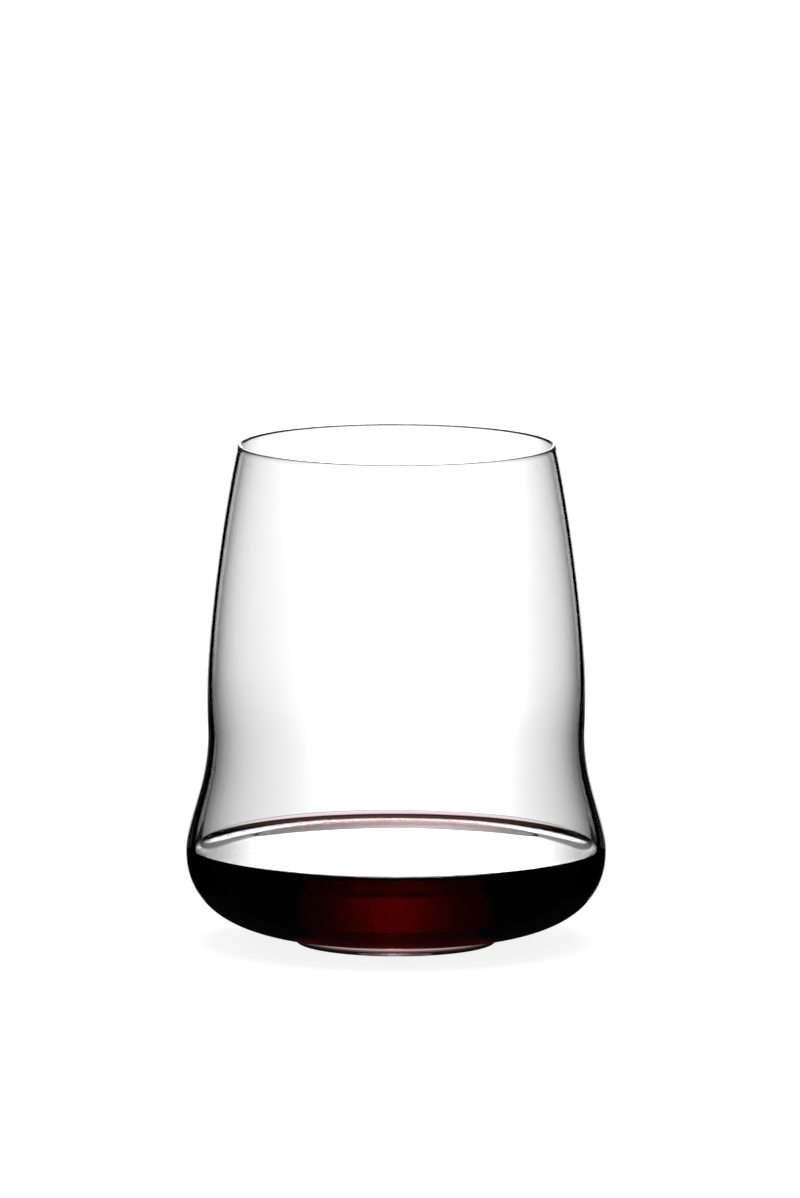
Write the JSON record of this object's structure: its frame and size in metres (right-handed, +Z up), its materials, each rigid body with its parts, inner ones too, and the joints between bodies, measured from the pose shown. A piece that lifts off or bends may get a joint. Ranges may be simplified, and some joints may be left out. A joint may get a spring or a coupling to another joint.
{
  "type": "stemless wine glass",
  "caption": "Stemless wine glass with a tapered mouth, a drawn-in waist and a wide low belly on a low solid foot, holding a shallow pour of red wine.",
  "frame": {"origin": "centre of the plane that the foot's resting ring stands on", "axes": "+Z up along the axis of the glass, which is turned, so that X and Y are alike"},
  "size_m": [0.1006, 0.1006, 0.12],
  "materials": {
    "clear_glass": "polished",
    "red_wine": "gloss"
  },
  "bodies": {
    "root": {"bowl": "clear_glass", "foot": "clear_glass", "wine": "red_wine"}
  },
  "joints": []
}
